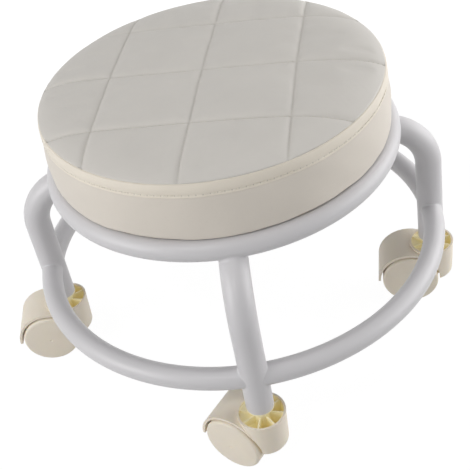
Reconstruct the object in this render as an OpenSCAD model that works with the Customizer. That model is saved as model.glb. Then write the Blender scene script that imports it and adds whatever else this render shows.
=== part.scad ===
// Low round rolling stool: a quilted cushion on a welded tube frame with four hooded twin-wheel casters.
// Millimetres, +Z up. The origin is on the floor, under the seat's centre. The front leg stands on -Y.

/* [Seat] */
// Diameter of the cushion at its top seam
seat_d = 275; // [250:1:320]
// Height of the cushion's side band, from the upper ring to the top seam
band_h = 50; // [40:0.5:80]
// How far the side band swells past the seam
band_swell = 3.2; // [0.5:0.1:5]
// Width of the folded and topstitched strip under the seam
strip_h = 10; // [6:0.5:14]
// Rise of the quilted top over its seam
crown_h = 8.5; // [6:0.5:14]
// Sharpness of the turn from the flat middle to the seam, as a power
crown_power = 7; // [4:1:12]
// Distance between two quilting lines
quilt_pitch = 75; // [50:1:110]
// Turn of the quilting lines about the seat's axis, in degrees
quilt_turn = -10; // [-45:1:45]
// Depth of a quilting line below the pillows beside it
quilt_depth = 2.4; // [1:0.1:4]
// Thickness of the leathercloth cover
cover_t = 1.2; // [0.8:0.1:2]
// Width of the cover's hem that is folded under the board
hem_w = 30; // [18:1:40]
// Thickness of the plywood seat board
board_t = 12; // [9:1:18]
// Thickness of the dust cover under the board
dust_t = 0.8; // [0.5:0.1:1.5]

/* [Frame] */
// Outer diameter of the two rings' tube
ring_tube_d = 18; // [14:0.5:22]
// Outer diameter of the legs' tube
leg_tube_d = 22.2; // [20:0.1:26]
// Wall of both tubes
tube_wall = 1.2; // [1:0.1:2]
// Centre-line diameter of the upper ring, which carries the seat
upper_ring_d = 275; // [255:1:290]
// Centre-line diameter of the lower ring and of the circle that the legs stand on
lower_ring_d = 340; // [325:1:380]
// Height from the legs' open ends to the lower ring's centre line
lower_ring_rise = 33; // [20:0.5:60]
// Height from the lower ring's centre line to the upper ring's
upper_ring_rise = 101.5; // [90:0.5:160]
// How far the crest of a leg's bend lies below the upper ring's centre line
leg_drop = 12.5; // [9:0.5:14]
// Centre-line radius of a leg's bend
leg_bend_r = 42; // [36:1:50]

/* [Seat fixing] */
// Width of a seat bracket
bracket_w = 24; // [18:1:36]
// Thickness of a seat bracket
bracket_t = 3; // [2:0.5:4]
// Reach of a seat bracket inwards from the upper ring's centre line
bracket_reach = 31; // [26:1:40]
// Distance of the screw from the bracket's inner end
screw_edge = 10; // [8:0.5:12]
// Diameter of a seat screw's shank
screw_d = 4.8; // [4:0.1:5.5]
// Length of a seat screw under its head
screw_len = 14; // [12:0.5:16]

/* [Casters] */
// Diameter of a caster wheel
wheel_d = 50; // [40:1:56]
// Width across the outer faces of a caster's two wheels
wheels_w = 44.8; // [40:0.2:52]
// Trail: distance from the swivel axis to the axle
caster_trail = 20; // [16:0.5:23]
// Gap between a wheel's tread and the hood above it
hood_gap = 1.8; // [1.5:0.1:4]
// Wall of the moulded hood and cup
hood_wall = 2.2; // [1.5:0.1:3]
// Width of the hood
hood_w = 38.8; // [34:0.2:46]
// Diameter of the open cup's rim
cup_d = 39; // [34:0.2:44]
// Height of the cup's rim over the axle
cup_rise = 30.5; // [29:0.1:36]
// Depth of the cup's foot below the axle
cup_foot = 4; // [1:0.5:8]
// How far the cup's radius draws in from its rim to its foot
cup_draft = 1.2; // [0:0.1:3]
// Wall of the cup, and of the pocket's floor over the wheels
cup_wall = 1.7; // [1.2:0.1:2.5]
// Radius of the cup's rolled lower edge
cup_roll = 5; // [2:0.5:7]
// Number of ribs between the hub and the cup's wall
cup_ribs = 8; // [6:1:12]
// Thickness of a rib
rib_t = 1.2; // [0.8:0.1:2]
// Width of the web between the two wheels, which holds the stem and the axle
web_w = 14; // [12.6:0.2:18]
// Height of the gap between the cup's rim and the leg's open end
leg_gap = 7.4; // [6:0.1:12]
// Diameter of the axle
axle_d = 6; // [5:0.1:8]
// Diameter of the stem where it is held in the leg's socket
stem_d = 11; // [9:0.1:12]
// Diameter of the stem's swivel pin
pin_d = 8; // [6:0.1:9]
// Length of the stem's swivel pin below its collar
pin_len = 22; // [16:0.5:24]
// Length of the stem above its collar
stem_len = 22; // [16:0.5:30]
// Length of the socket inside a leg
socket_len = 26; // [24:0.5:40]

/* [Caster turns] */
// Way that the front caster trails, in degrees from +X
front_turn = 144; // [-180:1:180]
// Way that the right caster trails
right_turn = 170; // [-180:1:180]
// Way that the back caster trails
back_turn = -144; // [-180:1:180]
// Way that the left caster trails
left_turn = 182; // [-180:1:360]

/* [Clearances] */
// Radial running clearance of a pin or axle in its bore
run_gap = 0.05; // [0.02:0.01:0.1]
// Gap between faces that turn past each other
face_gap = 0.4; // [0.3:0.05:0.8]
// Radial clearance of a screw in its hole
screw_gap = 0.1; // [0.05:0.05:0.3]

/* [Hidden] */
$fn = 96;

// A cut runs this far past the face that it opens
cut = 1;
steel_white = [0.86, 0.86, 0.88];
ivory = [0.90, 0.86, 0.76];
cream = [0.88, 0.86, 0.80];
zinc = [0.72, 0.73, 0.74];

// Directions of the four legs
front_at = -90;
right_at = 0;
back_at = 90;
left_at = 180;

// Heights, from the floor up
axle_z = wheel_d / 2;
cup_foot_z = axle_z - cup_foot;
cup_rim_z = axle_z + cup_rise;
leg_end_z = cup_rim_z + leg_gap;
lower_ring_z = leg_end_z + lower_ring_rise;
upper_ring_z = lower_ring_z + upper_ring_rise;
seat_z = upper_ring_z + ring_tube_d / 2;
board_z = seat_z + cover_t;
foam_z = board_z + board_t;
seam_z = seat_z + band_h;
panel_z = seam_z - 3;
bend_crest_z = upper_ring_z - leg_drop;
bracket_z = seat_z - dust_t - bracket_t;

// Radii
seat_r = seat_d / 2;
edge_share = 0.3;
edge_h = edge_share * quilt_depth + 0.2;
ring_tube_r = ring_tube_d / 2;
leg_tube_r = leg_tube_d / 2;
leg_bore_r = leg_tube_r - tube_wall;
upper_ring_r = upper_ring_d / 2;
leg_circle_r = lower_ring_d / 2;
wheel_r = wheel_d / 2;
board_r = seat_r + band_swell * band_bulge(0) - cover_t - 0.3;
screw_circle_r = upper_ring_r - bracket_reach + screw_edge;
screw_head_r = screw_d;
screw_head_t = 0.6 * screw_d;

// Caster sizes, about the swivel axis at the origin, with the wheels trailing towards +X
cavity_r = wheel_r + hood_gap;
hood_r = cavity_r + hood_wall;
cup_r = cup_d / 2;
hub_r = web_w / 2 - 0.4;
rib_drop = 0.6;
boss_wall = 3;
axle_inset = 4;
flange_t = 1.4;
collar_t = 1.6;
collar_r = stem_d / 2 + 2;
collar_z = leg_end_z - flange_t - collar_t;
hub_top_z = collar_z - face_gap;
wheel_in_y = web_w / 2 + face_gap;
wheel_out_y = wheels_w / 2;
groove_t = 2;
groove_z = leg_end_z - flange_t + stem_len - 3 * groove_t;

// Swell of the side band at a share of the way from its foot to the seam: full below, drawn in at the
// topstitch line and at the seam
function band_bulge(f) =
  let (waist = 1 - strip_h / band_h, g = f < waist ? f / waist : (f - waist) / (1 - waist))
  f < waist ? 0.5 + 0.5 * sin(180 * g) - 0.25 * g : 0.25 - 0.25 * g + 0.3 * sin(180 * g);
function band_point(f, inset) = [seat_r + band_swell * band_bulge(f) - inset, seat_z + f * band_h];

// Outline of the band's outside, moved inwards by an inset, from its foot up to a share of its height
function band_line(inset, from, to, steps = 16) =
  [for (i = [0:steps]) band_point(from + (to - from) * i / steps, inset)];

// Height of the quilted top above its seam, at a share of the seat's radius
function crown(f) = edge_h + (crown_h - edge_h) * (1 - pow(min(f, 1.03), crown_power));

// Height of the quilting at a distance along one direction: 0 on a line, 1 in the middle of a pillow
function pillow(t) =
  let (f = t / quilt_pitch - floor(t / quilt_pitch)) pow(max(0, sin(180 * f)), 0.45);

// Quilting lines cross at the seat's centre
quilt_steps = [0, 0.05, 0.16, 0.34, 0.5, 0.66, 0.84, 0.95];
quilt_cells = ceil((seat_r + 2) / quilt_pitch);
quilt_at = [for (c = [-quilt_cells:quilt_cells - 1]) for (f = quilt_steps) (c + f) * quilt_pitch,
            quilt_cells * quilt_pitch];

// Turned copies of a piece that is modelled about a leg's axis
module at_leg(angle, turn) {
  translate([leg_circle_r * cos(angle), leg_circle_r * sin(angle), 0]) rotate([0, 0, turn]) children();
}

// Ring of round tube about the Z axis
module ring_solid(ring_r, tube_r, z, span = 360) {
  translate([0, 0, z]) rotate_extrude(angle = span) translate([ring_r, 0]) circle(r = tube_r);
}

// Flat-ended pipe along +Z
module pipe(outer_r, inner_r, height) {
  difference() {
    cylinder(r = outer_r, h = height);
    translate([0, 0, -cut]) cylinder(r = inner_r, h = height + 2 * cut);
  }
}

// Seat

// Sheet with the quilting on its upper side, wide enough to be trimmed to the seat
module quilt_slab() {
  n = len(quilt_at);
  top = [for (y = quilt_at) for (x = quilt_at)
    let (f = norm([x, y]) / seat_r)
    [x, y, seam_z + crown(f) - quilt_depth * (1 - pillow(x) * pillow(y)) * (1 - (1 - edge_share) * min(1, pow(f, 5)))]];
  edge = quilt_cells * quilt_pitch;
  low = [[-edge, -edge, panel_z], [edge, -edge, panel_z], [edge, edge, panel_z], [-edge, edge, panel_z]];
  first = n * n;
  cells = [for (j = [0:n - 2]) for (i = [0:n - 2])
    let (a = j * n + i, b = a + 1, c = a + n + 1, d = a + n)
    each ((i + j) % 2 == 0 ? [[a, c, b], [a, d, c]] : [[a, d, b], [b, d, c]])];
  front = [for (i = [0:n - 1]) i];
  right = [for (j = [0:n - 1]) j * n + n - 1];
  back = [for (i = [0:n - 1]) n * n - 1 - i];
  left = [for (j = [0:n - 1]) (n - 1 - j) * n];
  polyhedron(points = concat(top, low), faces = concat(cells, [
    concat(front, [first + 1, first]),
    concat(right, [first + 2, first + 1]),
    concat(back, [first + 3, first + 2]),
    concat(left, [first, first + 3]),
    [first, first + 1, first + 2, first + 3]
  ]));
}

// The round form that the quilted sheet is trimmed to, with a narrower rim sewn inside the band
module quilt_outline() {
  translate([0, 0, seam_z]) cylinder(r = seat_r, h = 2 * crown_h);
  translate([0, 0, panel_z]) cylinder(r = seat_r - cover_t - 0.3, h = crown_h);
}

// The resize keeps the trimmed sheet at the seat's diameter and makes it one faceted form
module quilted_top() {
  color(cream) resize([seat_d, seat_d, 0]) intersection() {
    rotate([0, 0, quilt_turn]) quilt_slab();
    quilt_outline();
  }
}

// Side band with the hem that is folded under the board
module cover_band() {
  hem_r = seat_r + band_swell * band_bulge(0) - hem_w;
  outer = band_line(0, 0, 1);
  inner = [for (i = [len(outer) - 1:-1:0]) if (outer[i][1] > board_z) [outer[i][0] - cover_t, outer[i][1]]];
  foot_r = outer[0][0] - cover_t;
  color(cream) difference() {
    rotate_extrude() polygon(concat(outer, inner, [[foot_r, board_z], [hem_r, board_z], [hem_r, seat_z]]));
    screw_row(screw_d / 2 + screw_gap, seat_z - cut, board_z + cut);
  }
}

module foam_pad() {
  low = (foam_z - seat_z) / band_h;
  high = (panel_z - seat_z) / band_h;
  color([0.93, 0.88, 0.70]) rotate_extrude()
    polygon(concat([[0, foam_z]], band_line(cover_t + 0.3, low, high), [[0, panel_z]]));
}

module seat_board() {
  color([0.80, 0.66, 0.46]) difference() {
    translate([0, 0, board_z]) cylinder(r = board_r, h = board_t);
    screw_row(screw_d / 2 + screw_gap, board_z - cut, bracket_z + screw_len + screw_gap);
  }
}

module dust_cover() {
  color([0.2, 0.2, 0.22]) difference() {
    translate([0, 0, seat_z - dust_t]) cylinder(r = upper_ring_r - ring_tube_r - 4, h = dust_t);
    screw_row(screw_d / 2 + screw_gap, seat_z - dust_t - cut, seat_z + cut);
  }
}

// Four round rods on the screws' axes, from one height to another
module screw_row(rod_r, from_z, to_z) {
  for (i = [0:3]) rotate([0, 0, 45 + 90 * i])
    translate([screw_circle_r, 0, from_z]) cylinder(r = rod_r, h = to_z - from_z);
}

module seat_screws() {
  color(zinc) union() {
    screw_row(screw_d / 2, bracket_z, bracket_z + screw_len);
    for (i = [0:3]) rotate([0, 0, 45 + 90 * i]) translate([screw_circle_r, 0, bracket_z])
      rotate([180, 0, 0]) difference() {
        intersection() {
          cylinder(r = screw_head_r, h = screw_head_t);
          translate([0, 0, screw_head_t - 1.6 * screw_head_r]) sphere(r = 1.6 * screw_head_r);
        }
        for (a = [0, 90]) rotate([0, 0, a])
          translate([-screw_head_r / 2, -0.5, screw_head_t / 2]) cube([screw_head_r, 1, screw_head_t]);
      }
  }
}

module seat_brackets() {
  color(steel_white) difference() {
    for (i = [0:3]) rotate([0, 0, 45 + 90 * i]) translate([upper_ring_r - bracket_reach, 0, bracket_z])
      linear_extrude(bracket_t) union() {
        translate([bracket_w / 2, 0]) circle(r = bracket_w / 2);
        translate([bracket_w / 2, -bracket_w / 2]) square([bracket_reach - bracket_w / 2, bracket_w]);
      }
    ring_solid(upper_ring_r, ring_tube_r, upper_ring_z);
    screw_row(screw_d / 2 + screw_gap, bracket_z - cut, seat_z);
  }
}

// Frame

module upper_ring() {
  color(steel_white) difference() {
    ring_solid(upper_ring_r, ring_tube_r, upper_ring_z);
    ring_solid(upper_ring_r, ring_tube_r - tube_wall, upper_ring_z);
  }
}

// A rod along a leg's centre line, at a leg on +X: upright from the foot, then a quarter bend inwards
module leg_rod(rod_r, past = 0) {
  bend_z = bend_crest_z - leg_bend_r;
  translate([leg_circle_r, 0, leg_end_z - past]) cylinder(r = rod_r, h = bend_z - leg_end_z + past);
  translate([leg_circle_r - leg_bend_r, 0, bend_z]) rotate([90, 0, 0])
    rotate_extrude(angle = 90) translate([leg_bend_r, 0]) circle(r = rod_r);
  if (past > 0) translate([leg_circle_r - leg_bend_r, 0, bend_crest_z])
    rotate([0, -90, 0]) cylinder(r = rod_r, h = past);
}

// The leg's upper end is notched to sit round the upper ring, and welded there
module leg(angle) {
  color(steel_white) difference() {
    rotate([0, 0, angle]) difference() {
      leg_rod(leg_tube_r);
      leg_rod(leg_bore_r, cut);
    }
    ring_solid(upper_ring_r, ring_tube_r, upper_ring_z);
  }
}

// Arc of the lower ring between two legs, with both ends coped to the legs' tubes
module ring_arc(from, to) {
  span = (to - from + 360) % 360;
  color(steel_white) difference() {
    rotate([0, 0, from]) difference() {
      ring_solid(leg_circle_r, ring_tube_r, lower_ring_z, span);
      rotate([0, 0, -cut]) ring_solid(leg_circle_r, ring_tube_r - tube_wall, lower_ring_z, span + 2 * cut);
    }
    for (a = [from, to]) at_leg(a, 0)
      translate([0, 0, lower_ring_z - 2 * ring_tube_r]) cylinder(r = leg_tube_r, h = 4 * ring_tube_r);
  }
}

// Casters

// Plastic socket pushed into a leg's open end, with a flange under the tube and a groove for the grip ring
module socket(angle) {
  color(ivory) at_leg(angle, 0) translate([0, 0, leg_end_z]) difference() {
    union() {
      translate([0, 0, -flange_t]) cylinder(r = leg_tube_r, h = flange_t);
      cylinder(r = leg_bore_r, h = socket_len - 2);
      translate([0, 0, socket_len - 2]) cylinder(r1 = leg_bore_r, r2 = leg_bore_r - 1, h = 2);
    }
    translate([0, 0, -flange_t - cut]) cylinder(r = stem_d / 2, h = socket_len + flange_t + 2 * cut);
    translate([0, 0, groove_z - leg_end_z - groove_t / 2]) cylinder(r = stem_d / 2 + 0.8, h = 2 * groove_t);
  }
}

// Steel stem: grip end in the socket, collar under the flange, swivel pin in the caster's hub
module stem(angle) {
  color(zinc) at_leg(angle, 0) translate([0, 0, collar_z]) difference() {
    union() {
      translate([0, 0, -pin_len]) cylinder(r = pin_d / 2, h = pin_len + collar_t / 2);
      cylinder(r = collar_r, h = collar_t);
      translate([0, 0, collar_t]) cylinder(r = stem_d / 2, h = stem_len - 2);
      translate([0, 0, collar_t + stem_len - 2]) cylinder(r1 = stem_d / 2, r2 = stem_d / 2 - 1.5, h = 2);
    }
    translate([0, 0, groove_z - collar_z]) pipe(stem_d, stem_d / 2 - 1, groove_t);
  }
}

// Split spring rings that grip the sockets, one in each stem's groove
module grip_rings() {
  color(zinc) for (angle = [front_at, right_at, back_at, left_at]) at_leg(angle, angle)
    translate([0, 0, groove_z + 0.1]) rotate_extrude(angle = 320)
      translate([stem_d / 2 - 1, 0]) square([1.6, groove_t - 0.2]);
}

// Cup outside: drawn in towards its foot, with a rolled lower edge
module cup_outside() {
  foot_r = cup_r - cup_draft;
  rotate_extrude() union() {
    polygon([[0, cup_foot_z], [foot_r - cup_roll, cup_foot_z], [foot_r - cup_roll, cup_foot_z + cup_roll],
             [foot_r, cup_foot_z + cup_roll], [cup_r, cup_rim_z], [0, cup_rim_z]]);
    intersection() {
      translate([foot_r - cup_roll, cup_foot_z + cup_roll]) circle(r = cup_roll);
      translate([foot_r - cup_roll, cup_foot_z]) square([cup_roll + cut, cup_roll + 0.01]);
    }
  }
}

// Inside of the cup, between its ribs and the hub, down to a floor that also roofs the wheels' cavity
module cup_pockets() {
  top_r = cup_r - cup_wall;
  low_z = cup_foot_z + cup_wall;
  difference() {
    rotate_extrude() polygon([[hub_r, low_z], [top_r - cup_draft - 1, low_z],
                              [top_r - cup_draft, low_z + 2], [top_r, cup_rim_z + 0.01], [hub_r, cup_rim_z + 0.01]]);
    axle_rod(cavity_r + cup_wall, 2 * hood_w);
    for (i = [0:cup_ribs - 1]) rotate([0, 0, 360 * (i + 0.5) / cup_ribs])
      translate([0, -rib_t / 2, cup_foot_z]) cube([cup_r, rib_t, cup_rim_z - cup_foot_z - rib_drop]);
  }
}

// A rod along the axle's direction, centred between the wheels
module axle_rod(rod_r, width) {
  translate([caster_trail, -width / 2, axle_z]) rotate([-90, 0, 0]) cylinder(r = rod_r, h = width);
}

// Hood over both wheels, down to the axle's height behind, which runs into the cup's wall in front
module hood() {
  intersection() {
    axle_rod(hood_r, hood_w);
    translate([0, -hood_w, axle_z]) cube([caster_trail + 2 * hood_r, 2 * hood_w, hood_r]);
  }
}

// Hood, cup, ribs, hub and web, as one moulding
module caster_body_solid() {
  boss_r = axle_d / 2 + boss_wall;
  difference() {
    union() {
      difference() {
        union() {
          cup_outside();
          hood();
        }
        cup_pockets();
        for (side = [-1, 1]) translate([caster_trail, side * (web_w + 2 * hood_w) / 2, axle_z])
          rotate([-90, 0, 0]) cylinder(r = cavity_r, h = 2 * hood_w, center = true);
        axle_rod(cavity_r - 0.5, web_w - 2 * hood_wall);
      }
      translate([0, 0, cup_foot_z]) cylinder(r = hub_r, h = hub_top_z - cup_foot_z);
      axle_rod(boss_r, web_w);
    }
    translate([0, 0, collar_z - pin_len - face_gap]) cylinder(r = pin_d / 2 + run_gap, h = cup_rim_z);
    axle_rod(axle_d / 2, 2 * web_w);
  }
}

module caster_body(angle, turn) {
  color(ivory) at_leg(angle, turn) caster_body_solid();
}

module axle(angle, turn) {
  color(zinc) at_leg(angle, turn) axle_rod(axle_d / 2, wheels_w - 2 * axle_inset);
}

// Hollow moulded wheel: domed outer face with a small dimple, rounded tread edges, hub and open back
module wheel_solid() {
  wide = wheel_out_y - wheel_in_y;
  shoulder = 3;
  back_edge = 1;
  dome = 1.4;
  tread_t = 3.2;
  face_t = 3;
  hub_t = 3;
  dimple_r = 2;
  dimple_depth = 0.7;
  face_r = wheel_r - shoulder;
  face_z = wide - dome;
  dome_r = (face_r * face_r + dome * dome) / (2 * dome);
  bore_r = axle_d / 2 + run_gap;
  bore_depth = wide - axle_inset + face_gap;
  difference() {
    intersection() {
      rotate_extrude() union() {
        square([wheel_r - back_edge, face_z - shoulder]);
        translate([0, back_edge]) square([wheel_r, face_z - shoulder - back_edge]);
        translate([wheel_r - back_edge, back_edge]) circle(r = back_edge);
        translate([wheel_r - shoulder, face_z - shoulder]) circle(r = shoulder);
        square([face_r, wide]);
      }
      translate([0, 0, wide - dome_r]) sphere(r = dome_r, $fn = 200);
    }
    translate([0, 0, -cut]) pipe(wheel_r - tread_t, axle_d / 2 + hub_t, wide - face_t + cut);
    translate([0, 0, -cut]) cylinder(r = bore_r, h = bore_depth + cut);
    translate([0, 0, wide - dimple_depth + dimple_r]) sphere(r = dimple_r);
  }
}

// One wheel of a caster, on the side of the caster's +Y (1) or -Y (-1)
module wheel(angle, turn, side) {
  color(ivory) at_leg(angle, turn) translate([caster_trail, side * wheel_in_y, axle_z])
    rotate([-side * 90, 0, 0]) wheel_solid();
}

quilted_top();
cover_band();
foam_pad();
seat_board();
dust_cover();
seat_screws();
seat_brackets();
upper_ring();
leg(front_at);  // front_leg
leg(right_at);  // right_leg
leg(back_at);  // back_leg
leg(left_at);  // left_leg
ring_arc(front_at, right_at);  // front_right_arc
ring_arc(right_at, back_at);  // back_right_arc
ring_arc(back_at, left_at);  // back_left_arc
ring_arc(left_at, front_at);  // front_left_arc
socket(front_at);  // front_socket
socket(right_at);  // right_socket
socket(back_at);  // back_socket
socket(left_at);  // left_socket
stem(front_at);  // front_stem
stem(right_at);  // right_stem
stem(back_at);  // back_stem
stem(left_at);  // left_stem
grip_rings();
caster_body(front_at, front_turn);  // front_caster_body
caster_body(right_at, right_turn);  // right_caster_body
caster_body(back_at, back_turn);  // back_caster_body
caster_body(left_at, left_turn);  // left_caster_body
axle(front_at, front_turn);  // front_axle
axle(right_at, right_turn);  // right_axle
axle(back_at, back_turn);  // back_axle
axle(left_at, left_turn);  // left_axle
wheel(front_at, front_turn, 1);  // front_wheel_l
wheel(right_at, right_turn, 1);  // right_wheel_l
wheel(back_at, back_turn, 1);  // back_wheel_l
wheel(left_at, left_turn, 1);  // left_wheel_l
wheel(front_at, front_turn, -1);  // front_wheel_r
wheel(right_at, right_turn, -1);  // right_wheel_r
wheel(back_at, back_turn, -1);  // back_wheel_r
wheel(left_at, left_turn, -1);  // left_wheel_r
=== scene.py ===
"""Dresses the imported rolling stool: quilted cushion, welded tube frame, casters, finishes, studio."""

import math

import bpy
import numpy as np
from bpy.props import FloatProperty, FloatVectorProperty, PointerProperty
from mathutils import Matrix, Vector


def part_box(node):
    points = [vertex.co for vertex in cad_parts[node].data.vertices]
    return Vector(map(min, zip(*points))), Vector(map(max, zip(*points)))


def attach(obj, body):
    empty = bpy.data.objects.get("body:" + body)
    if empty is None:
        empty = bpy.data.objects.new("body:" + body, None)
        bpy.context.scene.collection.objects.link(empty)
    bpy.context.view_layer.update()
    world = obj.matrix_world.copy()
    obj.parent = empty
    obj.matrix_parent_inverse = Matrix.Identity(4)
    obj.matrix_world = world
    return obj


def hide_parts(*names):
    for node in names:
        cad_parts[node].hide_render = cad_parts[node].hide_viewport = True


bl_info = {
    "name": "Rolling stool",
    "version": (1, 0, 0),
    "blender": (4, 5, 0),
    "location": "3D View > Sidebar > Rolling stool",
    "description": "Dresses a low rolling stool with its cushion, welds, finishes and studio",
    "category": "Object",
}

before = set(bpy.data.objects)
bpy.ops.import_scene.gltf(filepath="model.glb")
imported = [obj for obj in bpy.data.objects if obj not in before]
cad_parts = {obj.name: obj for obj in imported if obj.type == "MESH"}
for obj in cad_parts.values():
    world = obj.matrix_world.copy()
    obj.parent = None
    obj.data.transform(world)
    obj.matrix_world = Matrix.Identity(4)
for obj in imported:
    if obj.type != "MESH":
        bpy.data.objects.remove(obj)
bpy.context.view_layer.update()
MM = 0.001

BAND_LOW, BAND_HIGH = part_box("cover_band")
SEAT_Z = BAND_LOW.z
SEAM_Z = BAND_HIGH.z
RING_LOW, RING_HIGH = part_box("upper_ring")
RING_TUBE_R = (RING_HIGH.z - RING_LOW.z) / 2
RING_R = RING_HIGH.x - RING_TUBE_R
RING_Z = (RING_HIGH.z + RING_LOW.z) / 2
LEG_LOW, LEG_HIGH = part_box("right_leg")
LEG_TUBE_R = (LEG_HIGH.y - LEG_LOW.y) / 2
LEG_R = LEG_HIGH.x - LEG_TUBE_R
FOOT_LOW, FOOT_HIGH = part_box("front_right_arc")
FOOT_RING_Z = (FOOT_LOW.z + FOOT_HIGH.z) / 2

# Outer radius of the stem cup on a caster, and the masks of two planes' axes
CUP_R = 19.5 * MM
LEVEL_PLANE = (1, 1, 0)
LEG_PLANE = (1, 0, 1)
LEG_ANGLES = {"front": -90, "right": 0, "back": 90, "left": 180}
ARCS = ("front_right_arc", "back_right_arc", "back_left_arc", "front_left_arc")

# Rays that see the floor and the surroundings as white
WHITE_RAYS = ("Is Camera Ray", "Is Glossy Ray", "Is Transmission Ray")
# Each lamp's place from the point aimed at, its size in metres and its share of the key power
LAMPS = {
    "left": ((-1.40, -0.70, 0.60), 1.0, 1.26),
    "right": ((1.50, 0.0, 0.15), 1.6, 1.90),
    "right_back": ((1.30, 0.80, 0.60), 1.6, 0.70),
    "front": ((-0.45, -0.90, 1.30), 0.14, 0.30),
    "top": ((-0.1, 0.1, 1.7), 0.4, 0.28),
}


def length_prop(name, text, default, low, high):
    """A length in metres for a property group."""
    return FloatProperty(name=name, description=text, default=default, min=low, max=high,
                         subtype="DISTANCE", unit="LENGTH", precision=4)


def color_prop(name, text, default):
    """A surface colour for a property group."""
    return FloatVectorProperty(name=name, description=text, default=default, size=3, min=0, max=1,
                               subtype="COLOR")


class CushionSettings(bpy.types.PropertyGroup):
    """Sizes and colours of the quilted cushion"""

    seat_r: length_prop("Seam radius", "Radius of the top seam", 137.5 * MM, 120 * MM, 160 * MM)
    crown: length_prop("Crown", "Rise of the quilted top over its seam", 10.5 * MM, 2 * MM, 14 * MM)
    crown_power: FloatProperty(name="Crown power", description="Sharpness of the turn to the seam",
                               default=9, min=2, max=12)
    pitch: length_prop("Quilt pitch", "Distance between two quilting lines", 75 * MM, 40 * MM, 120 * MM)
    turn: FloatProperty(name="Quilt turn", description="Turn of the quilting about the seat's axis",
                        default=math.radians(-10), min=-math.pi, max=math.pi, subtype="ANGLE")
    shift: length_prop("Quilt shift", "Place of the quilting's middle across the seat",
                       -4 * MM, -20 * MM, 20 * MM)
    depth: length_prop("Quilt depth", "Depth of a quilting line below the pillows", 2.4 * MM, 0, 5 * MM)
    swell: length_prop("Band swell", "How far the side band swells past the seam", 3.2 * MM, 0, 8 * MM)
    strip: length_prop("Stitched strip", "Width of the topstitched strip under the seam",
                       8.8 * MM, 4 * MM, 16 * MM)
    hem: length_prop("Hem", "Width of the hem under the board", 30 * MM, 5 * MM, 60 * MM)
    cover_t: length_prop("Cover", "Thickness of the leathercloth", 1.2 * MM, 0.5 * MM, 3 * MM)
    fold: length_prop("Fold", "How far the strip's folded edge lies under its stitches",
                      2.2 * MM, 1 * MM, 6 * MM)
    stitch: length_prop("Quilting stitch", "Length of one quilting stitch", 3.4 * MM, 2 * MM, 8 * MM)
    loose_at: FloatProperty(name="Loose hem", description="Direction in which the hem stands off the ring",
                            default=math.radians(-54), subtype="ANGLE", unit="ROTATION")
    topstitch: length_prop("Topstitch", "Length of one stitch on the strip", 5.0 * MM, 2 * MM, 8 * MM)
    pressure: FloatProperty(name="Stuffing pressure", description="Pressure that fills the pillows",
                            default=4, min=0, max=20)
    # The top's colour is darker and greyer than the band's: partly painted shade on the upward-facing top,
    # partly the cloth's own tone.
    top_color: color_prop("Top colour", "Leathercloth of the quilted top", (0.735, 0.704, 0.658))
    band_color: color_prop("Band colour", "Leathercloth of the side band", (0.825, 0.763, 0.68))
    strip_color: color_prop("Strip colour", "Leathercloth of the topstitched strip", (0.94, 0.865, 0.745))
    quilt_thread: color_prop("Quilting thread", "Thread of the quilting lines", (0.80, 0.76, 0.69))
    thread_color: color_prop("Topstitch thread", "Thread of the strip's stitches", (0.93, 0.87, 0.76))


class FrameSettings(bpy.types.PropertyGroup):
    """Sizes and colours of the tube frame"""

    bend_r: length_prop("Bend radius", "Centre-line radius of a leg's bend", 42 * MM, 30 * MM, 60 * MM)
    bead: length_prop("Foot weld", "Width of a weld at the foot ring", 1.3 * MM, 0.5 * MM, 6 * MM)
    fillet: length_prop("Ring weld", "Width of a weld under the upper ring", 3.6 * MM, 0.5 * MM, 8 * MM)
    paint: color_prop("Powder coat", "Powder coat on the tubes", (0.70, 0.686, 0.70))
    zinc: color_prop("Zinc", "Zinc plate on screws, stems and axles", (0.60, 0.60, 0.61))


class CasterSettings(bpy.types.PropertyGroup):
    """Colours of the casters"""

    nylon: color_prop("Nylon", "Moulded nylon of hoods and wheels", (0.94, 0.845, 0.71))


class StageSettings(bpy.types.PropertyGroup):
    """The camera and lights"""

    lens: FloatProperty(name="Lens", description="Focal length on a 36 mm wide sensor", default=75.06,
                        min=20, max=200, subtype="DISTANCE_CAMERA")
    roll: FloatProperty(name="Roll", description="Tilt of the camera about its own axis",
                        default=math.radians(-11.29), subtype="ANGLE")
    eye: FloatVectorProperty(name="Eye", description="Place of the camera", size=3, subtype="XYZ",
                             unit="LENGTH", default=(0.0394, -0.6798, 0.6426))
    aim: FloatVectorProperty(name="Aim", description="Point in the middle of the view", size=3,
                             subtype="XYZ", unit="LENGTH", default=(-0.0021, -0.0322, 0.1226))
    key: FloatProperty(name="Key power", description="Power that every lamp takes its share of",
                       default=9.4, min=0, subtype="POWER")
    ambient: FloatProperty(name="Ambient", description="Strength of the pale surroundings", default=0.21,
                           min=0)


class Value:
    """A node socket that Python's operators turn into Math nodes."""

    def __init__(self, nodes, socket):
        self.nodes = nodes
        self.socket = socket

    def math(self, operation, *others):
        return self.nodes.node("ShaderNodeMath", {"operation": operation},
                               dict(enumerate((self, *others))))

    def __add__(self, other):
        return self.math("ADD", other)

    __radd__ = __add__

    def __sub__(self, other):
        return self.math("SUBTRACT", other)

    def __rsub__(self, other):
        return self.nodes.node("ShaderNodeMath", {"operation": "SUBTRACT"}, {0: other, 1: self})

    def __mul__(self, other):
        return self.math("MULTIPLY", other)

    __rmul__ = __mul__

    def __pow__(self, other):
        return self.math("POWER", other)

    def __abs__(self):
        return self.math("ABSOLUTE")

    def rise(self, low, high):
        """0 below low, 1 above high, smooth between."""
        return self.nodes.node("ShaderNodeMapRange", {"interpolation_type": "SMOOTHSTEP"},
                               {"Value": self, "From Min": low, "From Max": high})


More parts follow.
